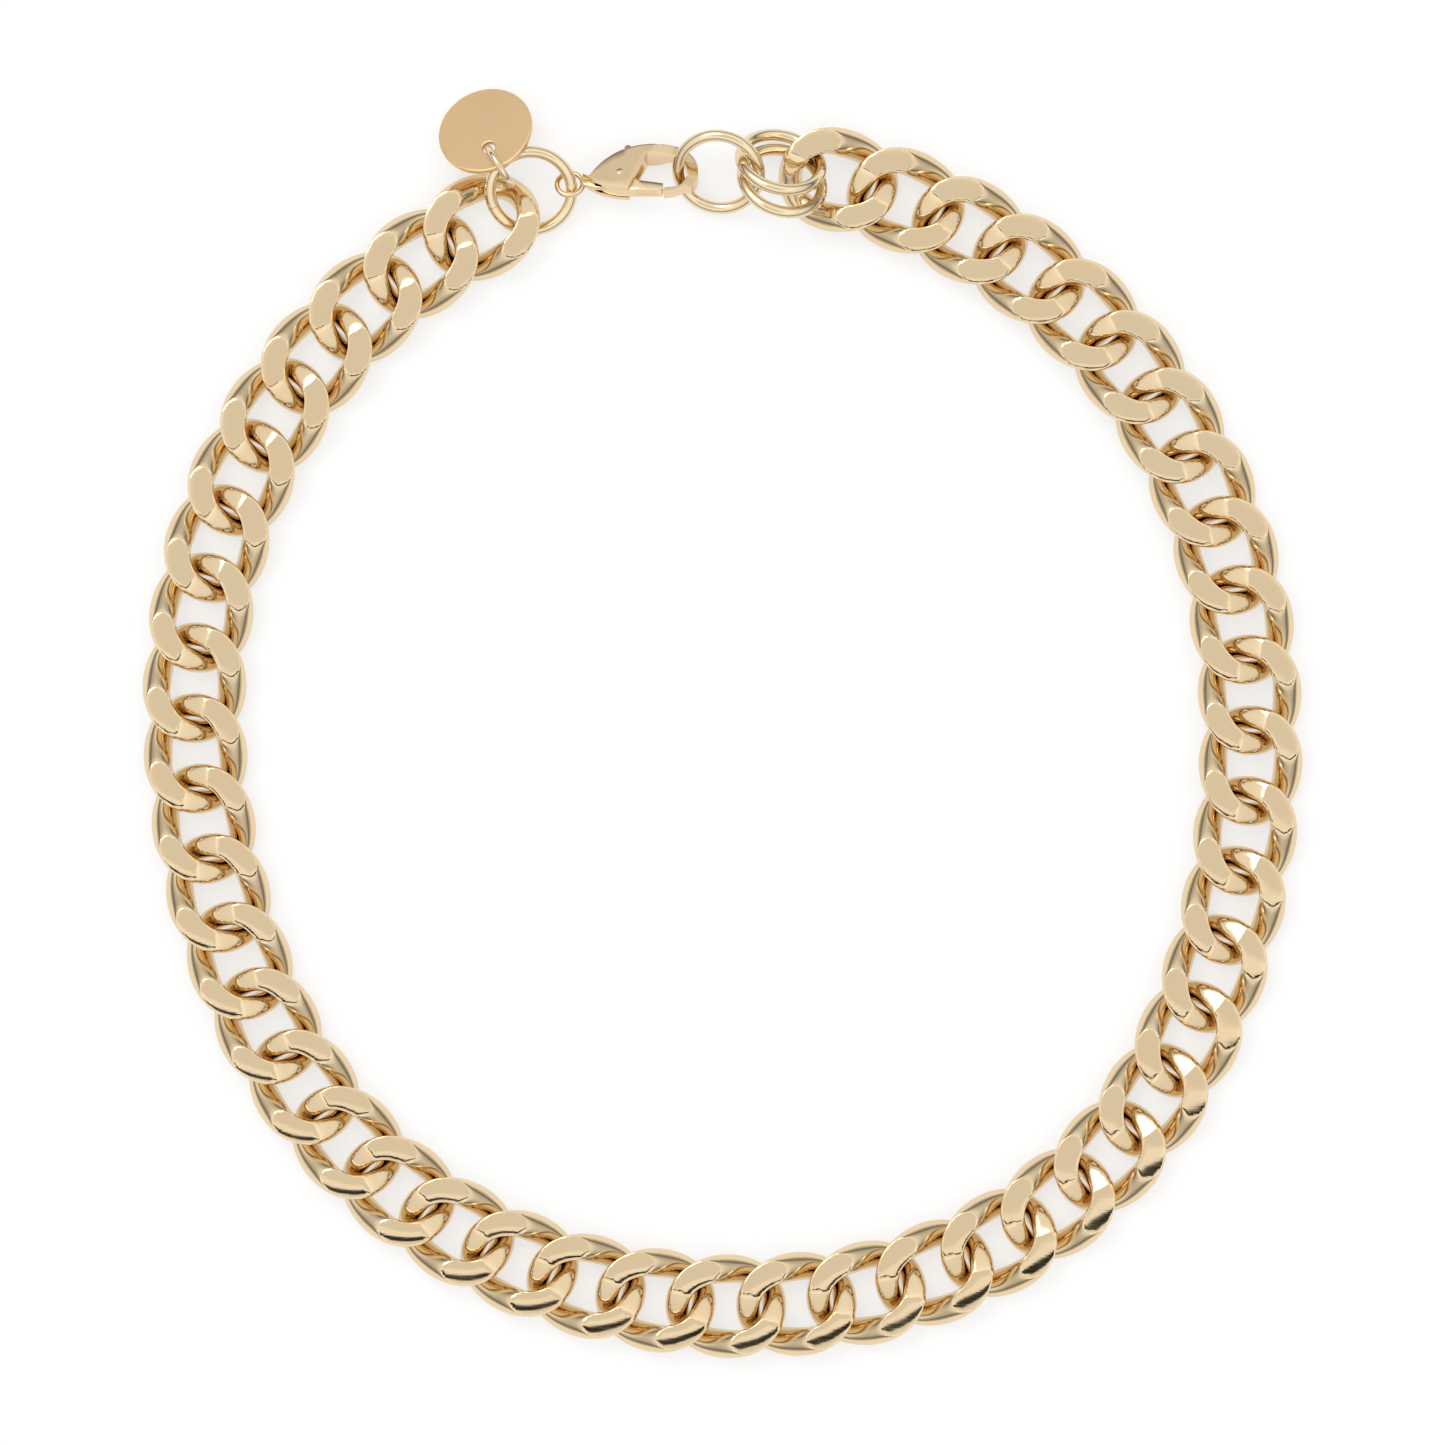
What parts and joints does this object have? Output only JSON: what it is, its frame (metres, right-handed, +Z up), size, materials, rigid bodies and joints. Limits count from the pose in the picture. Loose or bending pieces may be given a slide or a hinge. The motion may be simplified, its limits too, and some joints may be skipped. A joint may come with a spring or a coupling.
{
  "type": "chain necklace",
  "caption": "Chunky curb chain necklace with ground-flat links, jump rings, lobster clasp and a small round tag, lying closed in an oval.",
  "frame": {"origin": "on the surface the necklace lies on, under the middle of its outline", "axes": "+Z up from the surface, +Y from the front of the chain towards the clasp, +X to the right seen from above"},
  "size_m": [0.1502, 0.1646, 0.009],
  "materials": {
    "link_plating": "polished pale gold plating, ground flats with a satin polish",
    "ring_plating": "polished pale gold plating",
    "clasp_plating": "cast, tumbled and plated pale gold",
    "spring_steel": "plain spring steel",
    "tag_plating": "stamped disc, satin pale gold plating"
  },
  "bodies": {
    "link_01": {"link_01": "link_plating"},
    "link_02": {"link_02": "link_plating"},
    "link_03": {"link_03": "link_plating"},
    "link_04": {"link_04": "link_plating"},
    "link_05": {"link_05": "link_plating"},
    "link_06": {"link_06": "link_plating"},
    "link_07": {"link_07": "link_plating"},
    "link_08": {"link_08": "link_plating"},
    "link_09": {"link_09": "link_plating"},
    "link_10": {"link_10": "link_plating"},
    "link_11": {"link_11": "link_plating"},
    "link_12": {"link_12": "link_plating"},
    "link_13": {"link_13": "link_plating"},
    "link_14": {"link_14": "link_plating"},
    "link_15": {"link_15": "link_plating"},
    "link_16": {"link_16": "link_plating"},
    "link_17": {"link_17": "link_plating"},
    "link_18": {"link_18": "link_plating"},
    "link_19": {"link_19": "link_plating"},
    "link_20": {"link_20": "link_plating"},
    "link_21": {"link_21": "link_plating"},
    "link_22": {"link_22": "link_plating"},
    "link_23": {"link_23": "link_plating"},
    "link_24": {"link_24": "link_plating"},
    "link_25": {"link_25": "link_plating"},
    "link_26": {"link_26": "link_plating"},
    "link_27": {"link_27": "link_plating"},
    "link_28": {"link_28": "link_plating"},
    "link_29": {"link_29": "link_plating"},
    "link_30": {"link_30": "link_plating"},
    "link_31": {"link_31": "link_plating"},
    "link_32": {"link_32": "link_plating"},
    "link_33": {"link_33": "link_plating"},
    "link_34": {"link_34": "link_plating"},
    "link_35": {"link_35": "link_plating"},
    "link_36": {"link_36": "link_plating"},
    "link_37": {"link_37": "link_plating"},
    "link_38": {"link_38": "link_plating"},
    "link_39": {"link_39": "link_plating"},
    "link_40": {"link_40": "link_plating"},
    "link_41": {"link_41": "link_plating"},
    "link_42": {"link_42": "link_plating"},
    "link_43": {"link_43": "link_plating"},
    "link_44": {"link_44": "link_plating"},
    "link_45": {"link_45": "link_plating"},
    "end_ring": {"end_ring": "ring_plating"},
    "closing_ring": {"closing_ring": "ring_plating"},
    "pair_ring_upper": {"pair_ring_upper": "ring_plating"},
    "pair_ring_lower": {"pair_ring_lower": "ring_plating"},
    "clasp": {"clasp_body": "clasp_plating", "clasp_pin": "clasp_plating", "clasp_spring": "spring_steel"},
    "clasp_lever": {"clasp_lever": "clasp_plating"},
    "tag_ring": {"tag_ring": "ring_plating"},
    "tag": {"tag": "tag_plating"}
  },
  "joints": [
    {"name": "link_22_swing", "type": "hinge", "parent": "link_23", "child": "link_22", "pos_m": [0.01425, -0.0757, 0.00245], "axis": [0.0748, -0.9969, -0.0242], "range_deg": [-19, 19]},
    {"name": "link_21_swing", "type": "hinge", "parent": "link_22", "child": "link_21", "pos_m": [0.02331, -0.07372, 0.00245], "axis": [0.1365, -0.9903, -0.0243], "range_deg": [-18, 18]},
    {"name": "link_20_swing", "type": "hinge", "parent": "link_21", "child": "link_20", "pos_m": [0.03202, -0.07049, 0.00245], "axis": [-0.1976, 0.98, 0.0246], "range_deg": [-17, 17]},
    {"name": "link_19_swing", "type": "hinge", "parent": "link_20", "child": "link_19", "pos_m": [0.04015, -0.06597, 0.00245], "axis": [0.2576, -0.9659, -0.0251], "range_deg": [-16, 16]},
    {"name": "link_18_swing", "type": "hinge", "parent": "link_19", "child": "link_18", "pos_m": [0.04746, -0.06022, 0.00245], "axis": [0.3159, -0.9484, -0.0257], "range_deg": [-14, 14]},
    {"name": "link_17_swing", "type": "hinge", "parent": "link_18", "child": "link_17", "pos_m": [0.05376, -0.05337, 0.00245], "axis": [0.3721, -0.9278, -0.0265], "range_deg": [-13, 13]},
    {"name": "link_16_swing", "type": "hinge", "parent": "link_17", "child": "link_16", "pos_m": [0.05891, -0.04563, 0.00245], "axis": [-0.4256, 0.9045, 0.0275], "range_deg": [-12, 12]},
    {"name": "link_15_swing", "type": "hinge", "parent": "link_16", "child": "link_15", "pos_m": [0.06292, -0.03726, 0.00245], "axis": [0.4768, -0.8786, -0.0287], "range_deg": [-11, 11]},
    {"name": "link_14_swing", "type": "hinge", "parent": "link_15", "child": "link_14", "pos_m": [0.06585, -0.02848, 0.00245], "axis": [-0.5259, 0.85, 0.0302], "range_deg": [-11, 11]},
    {"name": "link_13_swing", "type": "hinge", "parent": "link_14", "child": "link_13", "pos_m": [0.06784, -0.01944, 0.00245], "axis": [0.5735, -0.8186, -0.0319], "range_deg": [-11, 11]},
    {"name": "link_12_swing", "type": "hinge", "parent": "link_13", "child": "link_12", "pos_m": [0.06899, -0.01027, 0.00245], "axis": [-0.6203, 0.7836, 0.0339], "range_deg": [-11, 11]},
    {"name": "link_11_swing", "type": "hinge", "parent": "link_12", "child": "link_11", "pos_m": [0.06933, -0.00103, 0.00245], "axis": [0.6665, -0.7446, -0.0363], "range_deg": [-11, 11]},
    {"name": "link_10_swing", "type": "hinge", "parent": "link_11", "child": "link_10", "pos_m": [0.06881, 0.0082, 0.00245], "axis": [-0.7117, 0.7014, 0.039], "range_deg": [-10, 10]},
    {"name": "link_09_swing", "type": "hinge", "parent": "link_10", "child": "link_09", "pos_m": [0.06733, 0.01734, 0.00245], "axis": [-0.7553, 0.654, 0.0424], "range_deg": [-10, 10]},
    {"name": "link_08_swing", "type": "hinge", "parent": "link_09", "child": "link_08", "pos_m": [0.06478, 0.02626, 0.00245], "axis": [0.7964, -0.603, -0.0465], "range_deg": [-9, 9]},
    {"name": "link_07_swing", "type": "hinge", "parent": "link_08", "child": "link_07", "pos_m": [0.06113, 0.03478, 0.00245], "axis": [-0.8343, 0.5489, 0.0518], "range_deg": [-9, 9]},
    {"name": "link_06_swing", "type": "hinge", "parent": "link_07", "child": "link_06", "pos_m": [0.05638, 0.04276, 0.00245], "axis": [0.8684, -0.4923, -0.0587], "range_deg": [-8, 8]},
    {"name": "link_05_swing", "type": "hinge", "parent": "link_06", "child": "link_05", "pos_m": [0.05063, 0.05004, 0.00245], "axis": [-0.8986, 0.4335, 0.0681], "range_deg": [-8, 8]},
    {"name": "link_04_swing", "type": "hinge", "parent": "link_05", "child": "link_04", "pos_m": [0.04397, 0.05649, 0.00245], "axis": [0.9244, -0.3726, -0.0815], "range_deg": [-8, 8]},
    {"name": "link_03_swing", "type": "hinge", "parent": "link_04", "child": "link_03", "pos_m": [0.03652, 0.06202, 0.00245], "axis": [0.9454, -0.3095, -0.102], "range_deg": [-8, 8]},
    {"name": "link_02_swing", "type": "hinge", "parent": "link_03", "child": "link_02", "pos_m": [0.0284, 0.06653, 0.00245], "axis": [-0.96, 0.2441, 0.1368], "range_deg": [-8, 8]},
    {"name": "link_01_swing", "type": "hinge", "parent": "link_02", "child": "link_01", "pos_m": [0.01976, 0.06991, 0.00245], "axis": [-0.962, 0.1766, 0.2082], "range_deg": [-8, 8]},
    {"name": "link_24_swing", "type": "hinge", "parent": "link_23", "child": "link_24", "pos_m": [0.00501, -0.07652, 0.00245], "axis": [0.0128, -0.9996, -0.0241], "range_deg": [-19, 19]},
    {"name": "link_25_swing", "type": "hinge", "parent": "link_24", "child": "link_25", "pos_m": [-0.00425, -0.07624, 0.00245], "axis": [-0.0492, -0.9985, -0.0241], "range_deg": [-18, 18]},
    {"name": "link_26_swing", "type": "hinge", "parent": "link_25", "child": "link_26", "pos_m": [-0.01342, -0.07488, 0.00245], "axis": [-0.111, -0.9935, -0.0242], "range_deg": [-18, 18]},
    {"name": "link_27_swing", "type": "hinge", "parent": "link_26", "child": "link_27", "pos_m": [-0.02236, -0.07243, 0.00245], "axis": [0.1724, 0.9847, 0.0244], "range_deg": [-18, 18]},
    {"name": "link_28_swing", "type": "hinge", "parent": "link_27", "child": "link_28", "pos_m": [-0.03092, -0.06884, 0.00245], "axis": [0.2332, 0.9721, 0.0247], "range_deg": [-17, 17]},
    {"name": "link_29_swing", "type": "hinge", "parent": "link_28", "child": "link_29", "pos_m": [-0.03891, -0.0641, 0.00245], "axis": [-0.2929, -0.9558, -0.0251], "range_deg": [-15, 15]},
    {"name": "link_30_swing", "type": "hinge", "parent": "link_29", "child": "link_30", "pos_m": [-0.04611, -0.05823, 0.00245], "axis": [0.3511, 0.936, 0.0257], "range_deg": [-14, 14]},
    {"name": "link_31_swing", "type": "hinge", "parent": "link_30", "child": "link_31", "pos_m": [-0.05237, -0.05136, 0.00245], "axis": [-0.4073, -0.9129, -0.0265], "range_deg": [-13, 13]},
    {"name": "link_32_swing", "type": "hinge", "parent": "link_31", "child": "link_32", "pos_m": [-0.05759, -0.04369, 0.00245], "axis": [-0.4613, -0.8868, -0.0274], "range_deg": [-12, 12]},
    {"name": "link_33_swing", "type": "hinge", "parent": "link_32", "child": "link_33", "pos_m": [-0.06176, -0.03541, 0.00245], "axis": [0.5133, 0.8577, 0.0285], "range_deg": [-11, 11]},
    {"name": "link_34_swing", "type": "hinge", "parent": "link_33", "child": "link_34", "pos_m": [-0.06497, -0.02672, 0.00245], "axis": [-0.5636, -0.8255, -0.0298], "range_deg": [-11, 11]},
    {"name": "link_35_swing", "type": "hinge", "parent": "link_34", "child": "link_35", "pos_m": [-0.06728, -0.01777, 0.00245], "axis": [-0.6126, -0.7898, -0.0314], "range_deg": [-11, 11]},
    {"name": "link_36_swing", "type": "hinge", "parent": "link_35", "child": "link_36", "pos_m": [-0.06875, -0.00864, 0.00245], "axis": [0.6605, 0.7501, 0.0331], "range_deg": [-11, 11]},
    {"name": "link_37_swing", "type": "hinge", "parent": "link_36", "child": "link_37", "pos_m": [-0.06934, 0.00059, 0.00245], "axis": [-0.707, -0.7063, -0.0352], "range_deg": [-10, 10]},
    {"name": "link_38_swing", "type": "hinge", "parent": "link_37", "child": "link_38", "pos_m": [-0.06895, 0.00985, 0.00245], "axis": [-0.7517, -0.6585, -0.0376], "range_deg": [-10, 10]},
    {"name": "link_39_swing", "type": "hinge", "parent": "link_38", "child": "link_39", "pos_m": [-0.06747, 0.019, 0.00245], "axis": [0.7937, 0.6069, 0.0405], "range_deg": [-9, 9]},
    {"name": "link_40_swing", "type": "hinge", "parent": "link_39", "child": "link_40", "pos_m": [-0.06482, 0.02789, 0.00245], "axis": [0.8324, 0.5524, 0.0442], "range_deg": [-9, 9]},
    {"name": "link_41_swing", "type": "hinge", "parent": "link_40", "child": "link_41", "pos_m": [-0.06099, 0.03635, 0.00245], "axis": [-0.8672, -0.4955, -0.0488], "range_deg": [-9, 9]},
    {"name": "link_42_swing", "type": "hinge", "parent": "link_41", "child": "link_42", "pos_m": [-0.05603, 0.0442, 0.00245], "axis": [0.8979, 0.4368, 0.0547], "range_deg": [-8, 8]},
    {"name": "link_43_swing", "type": "hinge", "parent": "link_42", "child": "link_43", "pos_m": [-0.05006, 0.0513, 0.00245], "axis": [-0.9242, -0.3767, -0.0627], "range_deg": [-8, 8]},
    {"name": "link_44_swing", "type": "hinge", "parent": "link_43", "child": "link_44", "pos_m": [-0.04321, 0.05755, 0.00245], "axis": [-0.9463, -0.3149, -0.0737], "range_deg": [-8, 8]},
    {"name": "link_45_swing", "type": "hinge", "parent": "link_44", "child": "link_45", "pos_m": [-0.0356, 0.06287, 0.00245], "axis": [0.9637, 0.2514, 0.0898], "range_deg": [-8, 8]},
    {"name": "pair_ring_upper_swing", "type": "hinge", "parent": "link_01", "child": "pair_ring_upper", "pos_m": [0.0123, 0.07403, 0.00289], "axis": [-0.9401, -0.1086, 0.3232], "range_deg": [-7, 3]},
    {"name": "pair_ring_lower_swing", "type": "hinge", "parent": "link_01", "child": "pair_ring_lower", "pos_m": [0.00958, 0.07321, 0.0015], "axis": [-0.8252, -0.3093, 0.4726], "range_deg": [-3, 4]},
    {"name": "end_ring_swing", "type": "hinge", "parent": "link_45", "child": "end_ring", "pos_m": [-0.03062, 0.0688, 0.00241], "axis": [0.9868, 0.122, 0.1068], "range_deg": [-6, 24]},
    {"name": "clasp_swing", "type": "hinge", "parent": "end_ring", "child": "clasp", "pos_m": [-0.02008, 0.07099, 0.0029], "axis": [-0.9874, -0.084, -0.1344], "range_deg": [-6, 18]},
    {"name": "closing_ring_swing", "type": "hinge", "parent": "clasp", "child": "closing_ring", "pos_m": [-0.00492, 0.07228, 0.00383], "axis": [0.9602, 0.082, 0.2671], "range_deg": [-2, 26]},
    {"name": "lever_turn", "type": "hinge", "parent": "clasp", "child": "clasp_lever", "pos_m": [-0.01321, 0.0706, 0.00325], "axis": [-0.0509, 0.4822, 0.8746], "range_deg": [0, 24], "stiffness_Nm_per_rad": 0.005, "springref_deg": -17.19, "deforming": ["clasp_spring"]},
    {"name": "tag_ring_swing", "type": "hinge", "parent": "end_ring", "child": "tag_ring", "pos_m": [-0.0289, 0.07177, 0.0034], "axis": [-0.5746, -0.7634, -0.2951], "range_deg": [-5, 34]},
    {"name": "tag_swing", "type": "hinge", "parent": "tag_ring", "child": "tag", "pos_m": [-0.03057, 0.07443, 0.00449], "axis": [0.1899, -0.2714, -0.9436], "range_deg": [-15, 7]}
  ]
}
